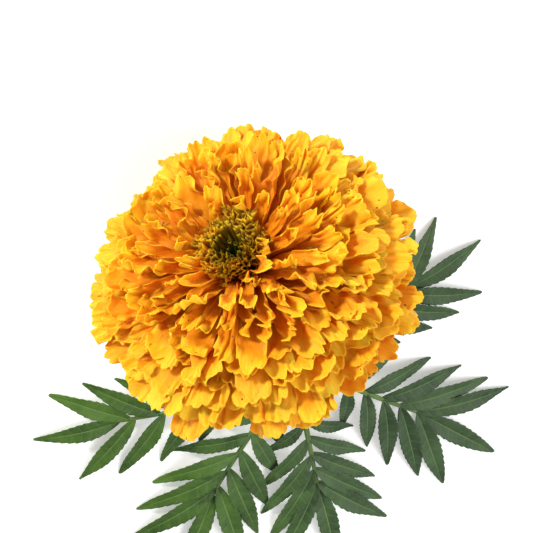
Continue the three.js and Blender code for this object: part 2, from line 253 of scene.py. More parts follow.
class Look:
    """A material, with short ways to add the nodes that the flower's materials share."""

    def __init__(self, name):
        self.material = bpy.data.materials.new(name)
        self.material.use_nodes = True
        self.nodes = self.material.node_tree.nodes
        self.links = self.material.node_tree.links
        self.shader = self.nodes["Principled BSDF"]
        self.grain = self.add("ShaderNodeUVMap", uv_map="grain").outputs["UV"]
        self.place = self.add("ShaderNodeTexCoord").outputs["Object"]
        self.tone = self.add("ShaderNodeAttribute", attribute_name="tone").outputs["Fac"]
        self.across, self.along, _ = self.split(self.grain)

    def add(self, kind, sockets=None, **settings):
        """A node, with its settings made and its inputs filled."""
        made = self.nodes.new(kind)
        for key, value in settings.items():
            setattr(made, key, value)
        self.fill(made, sockets or {})
        return made

    def fill(self, made, sockets):
        """Link each input to an output, or set it to a number or colour."""
        for key, value in sockets.items():
            if isinstance(value, bpy.types.NodeSocket):
                self.links.new(value, made.inputs[key])
            else:
                made.inputs[key].default_value = value

    def finish(self, colour, roughness, specular, subsurface):
        """Fill the shader's main inputs. The subsurface is its weight, radius and scale."""
        main = ("Base Color", "Roughness", "Specular IOR Level")
        below = ("Subsurface Weight", "Subsurface Radius", "Subsurface Scale")
        self.fill(self.shader, dict(zip(main + below, (colour, roughness, specular, *subsurface))))

    def split(self, vector):
        return self.add("ShaderNodeSeparateXYZ", {0: vector}).outputs

    def ramp(self, factor, stops):
        made = self.add("ShaderNodeValToRGB", {"Fac": factor})
        elements = made.color_ramp.elements
        while len(elements) < len(stops):
            elements.new(0.5)
        for element, (position, colour) in zip(elements, stops):
            element.position = position
            element.color = (*colour, 1)
        return made.outputs["Color"]

    def noise(self, vector, scale, detail=3.0, roughness=0.5):
        sockets = {"Vector": vector, "Scale": scale, "Detail": detail, "Roughness": roughness}
        return self.add("ShaderNodeTexNoise", sockets).outputs["Fac"]

    def stretched(self, vector, scale):
        return self.add("ShaderNodeMapping", {"Vector": vector, "Scale": scale}).outputs["Vector"]

    def compute(self, operation, a, b=0.0):
        return self.add("ShaderNodeMath", {0: a, 1: b}, operation=operation).outputs[0]

    def plus(self, a, b):
        return self.compute("ADD", a, b)

    def times(self, a, b):
        return self.compute("MULTIPLY", a, b)

    def spots(self, vector, scale, size):
        """1 inside round spots, one to a cell, and 0 between them."""
        cells = self.add("ShaderNodeTexVoronoi", {"Vector": vector, "Scale": scale})
        return self.compute("LESS_THAN", cells.outputs["Distance"], size)

    def blend(self, factor, a, b, kind="MIX"):
        """One colour laid over another. A fixed colour is given as three numbers."""
        if isinstance(b, tuple):
            b = (*b, 1)
        sockets = {MIX_FACTOR: factor, MIX_A: a, MIX_B: b}
        return self.add("ShaderNodeMix", sockets, data_type="RGBA", blend_type=kind).outputs[MIX_RESULT]

    def bump(self, height, distance, strength):
        sockets = {"Height": height, "Distance": distance, "Strength": strength}
        self.fill(self.shader, {"Normal": self.add("ShaderNodeBump", sockets).outputs["Normal"]})


def grey(level):
    return (level, level, level)


BLACK = grey(0)
WHITE = grey(1)


# ---- The head's frame ----
HEAD_TURN = np.array(Matrix.Rotation(pi / 2 - face, 3, "X"))


def from_head(points):
    """Points of the head's frame, in millimetres, to the object's frame, in metres."""
    return (points @ HEAD_TURN.T + np.array(HEAD_CENTRE)) * MM


def aim(angle):
    """A unit vector, outwards and up, at an angle from the flower's axis."""
    angle = radians(angle)
    return np.array([sin(angle), cos(angle)])


def fan_direction(levels, azimuth):
    """The directions out of the fan's centre at some levels, along the levels' last axis."""
    levels, azimuth = np.radians(levels), radians(azimuth)
    aside = np.array([cos(azimuth), sin(azimuth), 0])
    return np.sin(levels) * aside + np.cos(levels) * np.array([0, 0, 1])


def tip_at(polar):
    """The level and the distance from the fan centre of the floret tips at a polar angle of the dome."""
    radius = HEAD_RADIUS * sin(radians(polar))
    height = DOME_HEIGHT * cos(radians(polar)) - FAN_CENTRE
    return degrees(atan2(radius, height)), hypot(radius, height)


def polar_of(place):
    """The polar angle on the dome of a place on the spiral of florets."""
    outer, inner = cos(radians(OUTER_POLAR)), cos(radians(INNER_POLAR))
    return degrees(acos(mix(outer, inner, (place / FLORET_COUNT) ** SPIRAL_POWER)))


def receptacle_at(level):
    """How far the receptacle reaches from the fan's centre at a level."""
    level = radians(level)
    return 1 / hypot(sin(level) / RECEPTACLE_RADIUS, cos(level) / RECEPTACLE_HEIGHT)


# ---- Where the ray florets stand ----
# Where a pair is mixed in this section and the next, its first number holds at the rim of the head and its
# second near the eye.
PETAL_COUNT = 304  # the inner florets are modelled closer together than the frame's solids
NEAR_EYE = (0.55, 0.97)  # a floret comes to be near the eye between these shares of the way to it
AZIMUTH_SPREAD = (2.5, 7.0)
WIDTH_SPREAD = (0.18, 0.34)

# By the level of its tip: where a floret's tip heads, from the flower's axis, and how wide its blade is.
TIP_LEVELS = (15, 30, 45, 60, 75, 90, 100)
TIP_HEADINGS = (4, 12, 30, 60, 87, 103, 110)
PETAL_WIDTHS = (3.6, 4.8, 6.8, 8.2, 8.8, 9.2, 9.6)
OPEN_TOWARDS = 97  # the florets near the eye open further towards this azimuth
OPEN_MORE = 15

# The florets round one level reach further, as a crown, and those at the rim make the head's outline.
CROWN_HEIGHT = 3.6
CROWN_LEVEL = 33
CROWN_BREADTH = 13
RIM_LEVELS = (45, 80)
REACH_SPREAD = (0.055, 0.075)  # away from the rim and at it

# The outline's waves, as their count, size and phase, and its bulges, as their azimuth, breadth and size. The
# sizes are shares of the head's radius.
OUTLINE_WAVES = ((1, 0.011, -1.64), (2, 0.021, 1.46), (4, 0.009, -2.7), (5, 0.011, -2.95))
OUTLINE_BULGES = (
    (290, 10, -0.085), (62, 7, -0.085), (182, 13, 0.02), (84, 12, 0.035), (42, 12, 0.035), (228, 8, -0.075),
    (105, 8, -0.03), (313, 9, 0.03), (167, 7, -0.04), (332, 8, -0.02), (271, 7, 0.02), (212, 7, 0.02),
    (30, 7, 0.02),
)
OUTLINE_INSET = 0.022

# A floret's middle line is a curve with a handle at each end, given as a share of the way between its ends.
CLAW_HANDLE = 0.46
CLAW_UPRIGHT = 4
TIP_HANDLE = 0.28
LINE_STEPS = 121

# What tells one ray floret from another: each trait's middle and spread.
FLORET_TRAITS = dict(
    width=(0, 1), reach=(0, 1), eye_reach=(0, 1.2), heading=(0, 16), more_lobes=(0, 1.99),
    lobe_shift=(0, 0.25), teeth_phase=(0, 6), fine_teeth_phase=(0, 5), rounding=(1, 0.25),
    notches=(1.15, 0.85), slant=(0, 1.4), folding=(-1.32, 2.4), cupping=(0.05, 0.5),
    curl=(0.6, 1.3), sway=(0, 1.4), sway_phase=(0, 1), more_pleats=(0, 1.8),
    ridge=(0.32, 0.18), ridge_phase=(0, 3), right_phase=(0, 3), left_phase=(0, 3),
    waves=(1, 0.2), frills=(2.2, 1.1), frill_phase=(0, 3), azimuth=(0, 1), recurve=(0, 1.9),
    tip_level=(0, 2), dent_phase=(0, 7), row_phase=(0, 6), twist=(0, 1), tone=(0.5, 0.5),
    warp_phase=(0, 3), crinkles=(1, 0.15), crinkle_phase=(0, 3), frill_height=(0.5, 0.4),
    fine_frills=(5.5, 2), fine_frill_phase=(0, 3), lobe_skew=(0, 0.2), pleat_skew=(0, 0.35),
    pucker_phase=(0, 7),
)
chance = np.random.default_rng(41)


def inner_share(number):
    """How far an inner floret is on the way from the outer florets to the eye."""
    return (number - OUTER_FLORETS) / (PETAL_COUNT - OUTER_FLORETS)


def spiral_place(number):
    """Where a floret stands on the spiral of the frame's florets."""
    if number < OUTER_FLORETS:
        return number
    return OUTER_FLORETS + inner_share(number) * (FLORET_COUNT - OUTER_FLORETS)


def base_level_of(number):
    """Where a floret leaves the receptacle: one turn after another, and evenly in the inner head."""
    if number < OUTER_FLORETS:
        return OUTER_BASE_LEVELS[number // TURN]
    steps = np.arange(len(WHORL_BASE_LEVELS))
    return np.interp(inner_share(number) * (len(steps) - 1), steps, WHORL_BASE_LEVELS)


def outline(azimuth):
    """How far the head's outline lies outside its mean circle at an azimuth, as a share of its radius."""
    turn = radians(azimuth)
    waves = sum(size * sin(count * turn + phase) for count, size, phase in OUTLINE_WAVES)
    bulges = 0
    for middle, breadth, size in OUTLINE_BULGES:
        bulges += size * bell((azimuth - middle + 180) % 360 - 180, breadth)
    return waves + bulges - OUTLINE_INSET


def reach_of(distance, tip_level, azimuth, near_eye, own):
    """How far a floret's tip is from the fan's centre."""
    rim = ease(tip_level, *RIM_LEVELS)
    longer = mix(*REACH_SPREAD, rim) * own.reach
    crown = CROWN_HEIGHT * bell(tip_level - CROWN_LEVEL, CROWN_BREADTH)
    return distance * (1 + rim * outline(azimuth) + longer) + crown + near_eye * own.eye_reach


def floret_line(base, reach, tip_level, tip_heading):
    """A floret's middle line from claw to tip, bending outwards at its end.

    Gives its length, each step's share of it, and each step's distance from the fan centre, its level and
    its lean from straight outwards.
    """
    first, last = (receptacle_at(base) + GAP) * aim(base), reach * aim(tip_level)
    chord = norm(last - first)
    second = first + CLAW_HANDLE * chord * aim(base - CLAW_UPRIGHT)
    third = last - TIP_HANDLE * chord * aim(tip_heading)
    w = np.linspace(0, 1, LINE_STEPS)[:, None]
    line = (1 - w) ** 3 * first + 3 * (1 - w) ** 2 * w * second + 3 * (1 - w) * w**2 * third + w**3 * last
    along = np.concatenate([[0], np.cumsum(norm(np.diff(line, axis=0), axis=1))])
    step = np.gradient(line, axis=0)
    level = np.arctan2(line[:, 0], line[:, 1])
    lean = np.arctan2(step[:, 0], step[:, 1]) - level
    return along[-1], along / along[-1], (norm(line, axis=1), np.degrees(level), lean)


# ---- How a ray floret is shaped ----
FLORET_ROWS = 48
FLORET_COLUMNS = 31
ROW_CROWDING = 0.6
BLADE_THICKNESS = 0.3
MARGIN_THICKNESS = 0.12
MARGIN_POWER = 4
CLAW_WIDTH = 1.9

# Shares of the blade's length between which it widens, its relief comes in, its apex forms and its end thins.
WIDENS_FROM = 0.07
WIDENS_BY = (0.55, 0.72)
LATE = (0.38, 0.92)
APEX = (0.76, 1.0)
THIN_END = (0.85, 1.0)

# The apex is rounded off and slanted, with notches between its lobes, and small teeth.
CUT_BACK_FROM = 0.45
FEWEST_LOBES = 2
NOTCH_POWER = 0.6
TEETH_RATE = 17
FINE_TEETH_RATE = 10
TEETH_DEPTH = 0.34
ROUNDING = 0.38
ROUNDING_POWER = 2.5

# Across, the blade is an arc, and this is how far its edge has turned, in radians: a gutter in its claw, and
# cupped, flat or bent back further out.
GUTTER = 0.5
MOST_BENT_BACK = -1.1
MOST_CUPPED = 1.6
NEARLY_FLAT = 0.02
SWAY_RATE = 2.2
TWIST = (32, 68)
TWIST_POWER = (1, 0.5)

# The relief: pleats along the blade, waves and crinkles along its sides, a frilled end, dents and puckers.
FEWEST_PLEATS = 2.2
PLEATS_KEPT = (1, 0.55)
RIDGE_LOST = 0.3
WARP = 0.25
WARP_RATES = (3, 4)
WAVE_LENGTH = (5.4, 6.2)
WAVE_HEIGHT = (0.75, 1.25)
WAVE_POWER = 2.2
CRINKLE_LENGTH = 3.2
CRINKLE_HEIGHT = (0.17, 0.10)
FRILLS_KEPT = (1, 0.6)
FINE_FRILL_HEIGHT = (0.09, 0.05)
# Dents and puckers: their depth, the rate and slant of their columns and of their rows, and their phase.
QUILTING = ((0.52, 4, 5, 22, 1.5, "dent_phase"), (0.08, 13, -9, 55, 4, "pucker_phase"))

# The grain is the blade's uv: across it, in these many millimetres, and along it, running on at the margin.
GRAIN_WIDTH = 14
GRAIN_AT_MARGIN = 0.14
GRAIN_POWER = 5

# Where the table is in the way, the blade lies on it, each a little higher than the one before.
TABLE_CLEARANCE = 0.15
TABLE_STEP = 0.12
TABLE_SOFTNESS = 0.001  # in metres


def blade_steps(v, width, length, own):
    """How far along the blade each point of its grid lies, cut back from the tip to shape the apex."""
    lobes = FEWEST_LOBES + int(abs(own.more_lobes))
    lobed = v + own.lobe_shift + own.lobe_skew * v * v
    notches = 1 - np.abs(np.cos(pi * lobes * lobed / 2)) ** NOTCH_POWER
    teeth = np.sin(v * TEETH_RATE + own.teeth_phase) * np.sin(v * FINE_TEETH_RATE + own.fine_teeth_phase)
    cut_back = ROUNDING * width * own.rounding * np.abs(v) ** ROUNDING_POWER + own.notches * notches
    cut_back = cut_back + TEETH_DEPTH * (0.5 + 0.5 * teeth) - own.slant * v
    rows = np.linspace(0, 1, FLORET_ROWS)[:, None] ** ROW_CROWDING
    return rows * mix(1.0, 1 - cut_back / length, ease(rows, CUT_BACK_FROM, 1.0))


def blade_section(v, t, half, near_eye, own):
    """The blade's arc: how far aside each point lies, and how far up from the middle line."""
    edge = mix(GUTTER, own.cupping + max(0.0, own.folding), ease(t, *LATE))
    edge = np.clip(edge + near_eye * own.curl, MOST_BENT_BACK, MOST_CUPPED)
    edge = np.where(np.abs(edge) < NEARLY_FLAT, NEARLY_FLAT, edge)
    sway = own.sway * t**2 * np.sin(SWAY_RATE * t + own.sway_phase)
    return half * np.sin(edge * v) / edge + sway, half * (1 - np.cos(edge * v)) / edge


def blade_relief(v, t, length, near_eye, own):
    """What rises from the blade's arc, one kind of relief after another."""
    late = ease(t, *LATE)
    apex = ease(t, *APEX)
    warp = WARP * np.sin(WARP_RATES[0] * v + WARP_RATES[1] * t + own.warp_phase)
    warped = v + own.pleat_skew * v * v + warp

    pleats = (FEWEST_PLEATS + abs(own.more_pleats)) * mix(*PLEATS_KEPT, near_eye)
    ridge = own.ridge * late * (1 - RIDGE_LOST * apex)
    yield ridge * np.cos(pi * pleats * warped + own.ridge_phase)

    side_phase = np.where(v > 0, own.right_phase, own.left_phase)
    waves = tau * (length / mix(*WAVE_LENGTH, near_eye) * own.waves)
    wave_height = mix(*WAVE_HEIGHT, near_eye) * late * np.abs(v) ** WAVE_POWER
    yield wave_height * np.sin(waves * t + side_phase)

    crinkles = tau * (length / CRINKLE_LENGTH * own.crinkles)
    crinkle_height = mix(*CRINKLE_HEIGHT, near_eye) * late * np.abs(v) ** MARGIN_POWER
    yield crinkle_height * np.sin(crinkles * t + 2 * side_phase + own.crinkle_phase)

    frills = pi * (own.frills * mix(*FRILLS_KEPT, near_eye))
    yield own.frill_height * apex * np.sin(frills * warped + own.frill_phase)
    fine_frills = pi * own.fine_frills
    fine_height = mix(*FINE_FRILL_HEIGHT, near_eye) * apex
    yield fine_height * np.sin(fine_frills * warped + own.fine_frill_phase)

    for depth, columns, column_slant, rows, row_slant, phase in QUILTING:
        column = np.sin(v * columns + getattr(own, phase) + column_slant * t)
        yield depth * late * column * np.sin(t * rows + own.row_phase + row_slant * v)
    yield own.recurve * apex**2


def twisted(side, rise, t, near_eye, own):
    """The blade's section, twisted more and more towards the tip."""
    share = copysign(abs(own.twist) ** mix(*TWIST_POWER, near_eye), own.twist)
    twist = radians(mix(*TWIST, near_eye)) * share * ease(t, *LATE)
    cosine, sine = np.cos(twist), np.sin(twist)
    return side * cosine - rise * sine, rise * cosine + side * sine


def laid_on_table(points, number):
    """The points, with those that would lie below the table laid softly on it."""
    floor = (TABLE_CLEARANCE + TABLE_STEP * (number % TURN) + BLADE_THICKNESS / 2) * MM
    height = points[..., 2]
    lifted = floor + TABLE_SOFTNESS * np.exp((height - floor) / TABLE_SOFTNESS - 1)
    points[..., 2] = np.where(height < floor + TABLE_SOFTNESS, lifted, height)
    return points


def floret(number):
    """One ray floret, as its shell and its tone. Near the eye it is narrower, more upright and crumpled."""
    place = spiral_place(number)
    inward = place / FLORET_COUNT
    near_eye = ease(inward, *NEAR_EYE)
    own = draw_traits(chance, FLORET_TRAITS)

    azimuth = FIRST_AZIMUTH + number * GOLDEN_ANGLE + mix(*AZIMUTH_SPREAD, near_eye) * own.azimuth
    tip_level, distance = tip_at(polar_of(place))
    width = np.interp(tip_level, TIP_LEVELS, PETAL_WIDTHS) * (1 + mix(*WIDTH_SPREAD, near_eye) * own.width)
    reach = reach_of(distance, tip_level, azimuth, near_eye, own)
    heading = np.interp(tip_level, TIP_LEVELS, TIP_HEADINGS) + own.heading
    heading = heading + OPEN_MORE * near_eye * cos(radians(azimuth - OPEN_TOWARDS))
    length, shares, line = floret_line(base_level_of(number), reach, tip_level + own.tip_level, heading)

    # Each point of the blade's grid lies at v across it, from -1 to 1, and at t along it, from 0 to 1.
    v = np.linspace(-1, 1, FLORET_COLUMNS)[None, :]
    t = blade_steps(v, width, length, own)
    half = mix(CLAW_WIDTH, width, ease(t, WIDENS_FROM, mix(*WIDENS_BY, inward))) / 2
    side, rise = blade_section(v, t, half, near_eye, own)
    rise = sum(blade_relief(v, t, length, near_eye, own), start=rise)
    side, rise = twisted(side, rise, t, near_eye, own)

    distance, level, lean = (np.interp(t, shares, values)[..., None] for values in line)
    outwards = fan_direction(level, azimuth)
    face_normal = outwards * np.sin(lean) - fan_direction(level + 90, azimuth) * np.cos(lean)
    turn = radians(azimuth)
    sideways = np.array([-sin(turn), cos(turn), 0])
    middle = distance * outwards + np.array([0, 0, FAN_CENTRE])
    points = from_head(middle + side[..., None] * sideways + rise[..., None] * face_normal)

    margin = np.maximum(np.abs(v) ** MARGIN_POWER, ease(t, *THIN_END))
    thickness = mix(BLADE_THICKNESS, MARGIN_THICKNESS, margin) * MM
    grain_along = t + GRAIN_AT_MARGIN * ease(t, *LATE) * np.abs(v) ** GRAIN_POWER
    uv = np.stack([v * half / GRAIN_WIDTH + 0.5, grain_along], axis=-1)
    return closed_sheet(laid_on_table(points, number), thickness, uv), own.tone


# ---- The ray florets' look ----
VEINS = [(0.32, (0.80, 0.66, 0.5)), (0.62, WHITE)]
PETAL_TONES = [(0.0, (0.95, 0.77, 0.55)), (1.0, WHITE)]
PETAL_ROUGHNESS = [(0.3, grey(0.5)), (0.7, grey(0.66))]
SPECK = (0.22, 0.07, 0.01)


def petal_look(name, claw, middle, margin):
    """A velvety petal: deep in its claw, pale at its margin, finely veined and with a few brown specks."""
    look = Look(name)
    blotch = look.noise(look.place, scale=160)
    along = look.plus(look.along, look.times(blotch, 0.16))
    # Deep orange at the claw, pale at the margin: partly the petal's own colour, partly painted shade on
    # claws deep among the florets and a painted highlight on the exposed end and edges.
    base = look.ramp(along, [(0.28, claw), (0.70, middle), (0.88, middle), (1.0, margin)])
    veins = look.noise(look.stretched(look.grain, (46, 2.2, 1)), scale=1.6, detail=4, roughness=0.55)
    base = look.blend(0.68, base, look.ramp(veins, VEINS), "MULTIPLY")
    base = look.blend(0.8, base, look.ramp(look.tone, PETAL_TONES), "MULTIPLY")
    speckled = look.compute("GREATER_THAN", look.noise(look.place, scale=95, detail=1), 0.56)
    specks = look.times(speckled, look.spots(look.place, scale=430, size=0.12))
    base = look.blend(specks, base, SPECK)
    roughness = look.ramp(blotch, PETAL_ROUGHNESS)
    look.finish(base, roughness, specular=0.2, subsurface=(0.6, (1.0, 0.35, 0.03), 0.001))
    look.fill(look.shader, {"Sheen Weight": 0.03, "Sheen Roughness": 0.4})
    velvet = look.noise(look.place, scale=2600, detail=2)
    look.bump(look.plus(veins, look.times(velvet, 0.25)), distance=0.00025, strength=0.7)
    return look


OUTER_PETAL = petal_look("outer_petal", (0.80, 0.17, 0.002), (0.94, 0.36, 0.006), (0.98, 0.57, 0.030))
INNER_PETAL = petal_look("inner_petal", (0.84, 0.19, 0.003), (0.93, 0.35, 0.005), (0.98, 0.57, 0.024))
# The two whorls round the eye take a darker copy of the inner petal's look: painted shade.
EYE_PETAL_PAINTED_SHADE = petal_look("eye_petal_painted_shade", (0.84, 0.20, 0.003), (0.78, 0.30, 0.004), (0.96, 0.57, 0.016))
WHORL_PETALS = (INNER_PETAL,) * 4 + (EYE_PETAL_PAINTED_SHADE,) * 2


def add_florets():
    for number in range(OUTER_FLORETS):
        shape = Shape()
        shape.add(*floret(number))
        solid = f"ray_floret_{number + 1:02d}"
        shape.build(f"{solid}_petal", [OUTER_PETAL], solid, "outer_florets")
    shapes = [Shape() for _ in WHORL_PETALS]
    for number in range(OUTER_FLORETS, PETAL_COUNT):
        shapes[int(inner_share(number) * len(shapes))].add(*floret(number))
    for whorl, (shape, petal) in enumerate(zip(shapes, WHORL_PETALS), 1):
        solid = f"inner_whorl_{whorl}"
        shape.build(f"{solid}_petals", [petal], solid, "inner_florets")


add_florets()


# ---- The eye ----
# Where a pair is mixed here, its first number holds at the eye's centre and its second at its edge.
EYE_FLORETS = 132
EYE_RADIUS = 9.3
EYE_HEIGHT = (18.0, 26.0)
EYE_CROWDING = 0.56
EYE_FIRST = 0.6
EYE_SHIFT = (2.6, -2.2, 0)  # how far the middle of the eye lies off the flower's axis
EYE_GROWN_TOWARDS = 150  # the young florets are larger towards this azimuth
EYE_GROWN_MORE = 0.3

# Shares of the way out between which the florets grow up, the eye's hollow rises and its edge falls.
GROWN = (0.25, 0.95)
HOLLOW = (0.15, 0.8)
EDGE = (0.8, 1.0)
EDGE_DROP = 2.5
HEIGHT_SPREAD = (0.6, 1.9)

# A young floret is a tube up its outside, over its rim and down its inside.
FOOT_RADIUS = 2.6
FOOT_DROP = 1.1
FOOT_SUNK = 0.2
TUBE_RADIUS = (0.30, 0.55)
WALL = 0.22
OUTSIDE_RINGS = 13
INSIDE_RINGS = 6
INSIDE_DOWN_TO = 0.72
TUBE_SIDES = 30

# Shares of a young floret's length between which its tube widens, it leans, it shifts with the eye and opens.
TUBE_WIDENS = (0.1, 0.7)
LEANS = (0.6, 1.0)
SHIFTS = (0.3, 1.0)
OPENS = (0.74, 1.0)

# Its mouth: how wide it is, how far it flares, and the waves round its rim, in and out and up and down, as
# their count, their size, their phase and the trait that adds to it.
MOUTH = (0.45, 1.3)
FLARE = (0.15, 1.0)
LEAST_OPENING = 0.35
RIM_FRILLS = ((5, 0.32, 0, "lobe_phase"), (11, 0.2, 0, "frill_phase"), (2, 0.2, 0, "oval_phase"))
RIM_CRUMPLES = (
    (5, 0.4, 1.2, "lobe_phase"), (3, 0.5, -pi / 2, "crumple_phase"), (8, 0.16, -pi / 2, "fine_phase"),
)

# What tells one young floret from another: each trait's middle and spread. The last draw is a spare one.
YOUNG_TRAITS = dict(
    azimuth=(0, 8), radius=(0, 0.45), height=(0, 1), mouth=(1, 0.4), flare=(1, 0.3),
    lobe_phase=(0, 6), frill_phase=(0, 6), squash=(0, 0.6), crumple_phase=(0, 6),
    lean=(0, 1.5), tone=(0.5, 0.5), oval_phase=(0, 6), fine_phase=(0, 6), spare=(0, 0),
)


def young_ends(out, grown, own):
    """A young floret's foot on the receptacle and its top, straight out from the axis."""
    height = mix(*EYE_HEIGHT, ease(out, *HOLLOW)) + mix(*HEIGHT_SPREAD, grown) * own.height
    top = np.array([EYE_RADIUS * out + own.radius, 0, height - EDGE_DROP * ease(out, *EDGE)])
    foot_height = FAN_CENTRE + RECEPTACLE_HEIGHT - FOOT_DROP * out**2 - FOOT_SUNK
    return np.array([FOOT_RADIUS * out, 0, foot_height]), top


def rim_waves(waves, angle, own):
    """The sum of some waves round a young floret's rim."""
    total = 0 * angle
    for count, size, phase, trait in waves:
        total = total + size * np.cos(count * angle + getattr(own, trait) + phase)
    return total


def mouth_rings(along, inner, angle, grown, ahead, own):
    """How wide each ring of a young floret is and how far it is lifted, all round it."""
    mouth = mix(*MOUTH, grown) * (own.mouth + EYE_GROWN_MORE * ahead)
    flare = mix(*FLARE, grown) * own.flare
    opening = ease(along, *OPENS)[:, None]
    tube = mix(*TUBE_RADIUS, ease(along, *TUBE_WIDENS))[:, None]
    ring = mix(tube, mouth, opening * mix(LEAST_OPENING, 1.0, flare)) - WALL * inner[:, None]
    ring = ring * (1 + opening * flare * rim_waves(RIM_FRILLS, angle, own))
    return ring, opening * mouth * flare * rim_waves(RIM_CRUMPLES, angle, own)


def tubular_floret(number):
    """A young tubular floret, as its shell and its tone: a slender tube with a crinkled, lobed mouth."""
    out = ((number + EYE_FIRST) / EYE_FLORETS) ** EYE_CROWDING
    own = draw_traits(chance, YOUNG_TRAITS)
    azimuth = radians(number * GOLDEN_ANGLE + own.azimuth)
    grown = ease(out, *GROWN)
    ahead = grown * cos(azimuth - radians(EYE_GROWN_TOWARDS))

    inside = np.linspace(1, INSIDE_DOWN_TO, INSIDE_RINGS + 1)[1:]
    along = np.concatenate([np.linspace(0, 1, OUTSIDE_RINGS), inside])
    inner = np.concatenate([np.zeros(OUTSIDE_RINGS), np.ones(INSIDE_RINGS)])
    angle = np.linspace(0, tau, TUBE_SIDES, endpoint=False)[None, :]
    ring, lift = mouth_rings(along, inner, angle, grown, ahead, own)

    foot, top = young_ends(out, grown, own)
    axis = (top - foot) / norm(top - foot)
    outwards = np.array([axis[2], 0, -axis[0]])
    sideways = np.array([0, 1, 0])
    centre = foot + (top - foot) * along[:, None]
    centre = centre + outwards * (ease(along, *LEANS) * own.lean)[:, None]
    squash = 1 + own.squash * grown
    points = centre[:, None, :] + (ring * np.cos(angle) * squash)[..., None] * outwards
    points = points + (ring * np.sin(angle) / squash)[..., None] * sideways + lift[..., None] * axis
    shift = np.array(EYE_SHIFT) * (1 - out) * ease(along, *SHIFTS)[:, None, None]
    points = from_head(points @ turn_about_z(azimuth).T + shift)

    # The grain's length shows the rim, and its width how far the floret stands from the eye's centre.
    rim = np.where(inner > 0, 2 - along, along)[:, None] + 0 * angle
    return closed_tube(points, np.stack([out + 0 * rim, rim], axis=-1)), own.tone


# By how far out a young floret stands: the colours of its tube and of its rim. Near the eye's middle they are
# near black: partly the florets' own dark green, partly painted shade of the eye's hollow.
TUBE_COLOURS = [
    (0.34, (0.010, 0.026, 0.003)), (0.64, (0.18, 0.125, 0.006)), (0.95, (0.40, 0.19, 0.006)),
    (1.0, (0.62, 0.24, 0.006)),
]
RIM_COLOURS = [
    (0.32, (0.025, 0.055, 0.006)), (0.62, (0.50, 0.35, 0.018)), (0.95, (0.90, 0.50, 0.018)),
    (1.0, (0.94, 0.48, 0.016)),
]
# By how far along its tube a place is: painted shade, darker down among the florets, and where the rim's
# colour comes in. The inside of the tube lies past the end of the second ramp, and has the tube's colour.
TUBE_PAINTED_SHADE = [(0.50, (0.30, 0.40, 0.30)), (0.86, WHITE)]
RIM_SHARES = [(0.86, BLACK), (0.98, WHITE), (1.0, WHITE), (1.0, BLACK)]
YOUNG_MOTTLE = [(0.3, (0.7, 0.62, 0.5)), (0.7, WHITE)]


def eye_look():
    """The young florets: dark green in the middle of the eye, deepened there by painted shade, olive to
    orange with golden rims outside.
    """
    look = Look("young_florets")
    out = look.plus(look.across, look.times(look.tone, 0.22))
    # Painted shade: each young floret is darker down its tube, towards its foot among the others.
    depth = look.ramp(look.along, TUBE_PAINTED_SHADE)
    body = look.blend(1.0, look.ramp(out, TUBE_COLOURS), depth, "MULTIPLY")
    base = look.blend(look.ramp(look.along, RIM_SHARES), body, look.ramp(out, RIM_COLOURS))
    mottle = look.ramp(look.noise(look.place, scale=420), YOUNG_MOTTLE)
    base = look.blend(0.7, base, mottle, "MULTIPLY")
    look.finish(base, roughness=0.6, specular=0.1, subsurface=(0.25, (0.7, 0.5, 0.08), 0.0008))
    look.bump(look.noise(look.place, scale=2200, detail=2), distance=0.0002, strength=0.5)
    return look


def add_eye():
    shape = Shape()
    for number in range(EYE_FLORETS):
        shape.add(*tubular_floret(number))
    shape.build("eye_tubular_florets", [eye_look()], "eye_florets", "eye")


add_eye()


# ---- Green looks ----
GLAND = (0.30, 0.13, 0.012)


def green_look(name, dark, light, roughness, stretch, scale, gland_size=None, cut=None):
    """A green skin with long fibres and blotches, and where asked for, amber glands or a pale cut end."""
    look = Look(name)
    fibre = look.noise(look.stretched(look.grain, stretch), scale, detail=4, roughness=0.6)
    blotch = look.noise(look.place, scale=90)
    mixed = look.plus(look.times(fibre, 0.6), look.times(blotch, 0.4))
    base = look.ramp(mixed, [(0.36, dark), (0.62, light)])
    if gland_size:
        glands = look.spots(look.stretched(look.grain, (6, 16, 1)), scale=1.0, size=gland_size)
        base = look.blend(look.times(glands, 0.7), base, GLAND)
    if cut:
        base = look.blend(look.compute("GREATER_THAN", look.along, 1.0), base, cut)
    look.finish(base, roughness, specular=0.4, subsurface=(0.12, (0.3, 0.6, 0.1), 0.001))
    look.bump(fibre, distance=0.0003, strength=0.5)
    return look


CUP_GREEN = green_look(
    "bract_green", (0.075, 0.16, 0.018), (0.17, 0.27, 0.045), 0.42, (26, 3, 1), 1.4, gland_size=0.16
)
STEM_GREEN = green_look(
    "stem_green", (0.085, 0.17, 0.022), (0.19, 0.29, 0.055), 0.42, (40, 2, 1), 1.5, cut=(0.42, 0.52, 0.22)
)
STALK_GREEN = green_look("stalk_green", (0.060, 0.13, 0.022), (0.14, 0.23, 0.05), 0.45, (12, 3, 1), 1.5)

# ---- The involucre ----
# Profiles, as radius and height in the head's frame: up the outside of the cup, down its lining, and over its
# floor to the receptacle.
CUP_PROFILE = ((4.0, -32.7), (5.2, -30), (7.6, -25.5), (9.2, -20), (9.7, -14), (9.5, -9.5), (9.3, -5.8))
CUP_LINING = ((8.5, -5.8), (8.3, -10.5))
CUP_FLOOR = ((7.9, -10.8), (6.6, -10.8))
PROFILE_STEPS = 40
LINING_STEPS = 8
DOME_LEVELS = (90, 75, 60, 45, 30, 15)
DOME_TOP_RADIUS = 0.05
SIDES_PER_TOOTH = 24

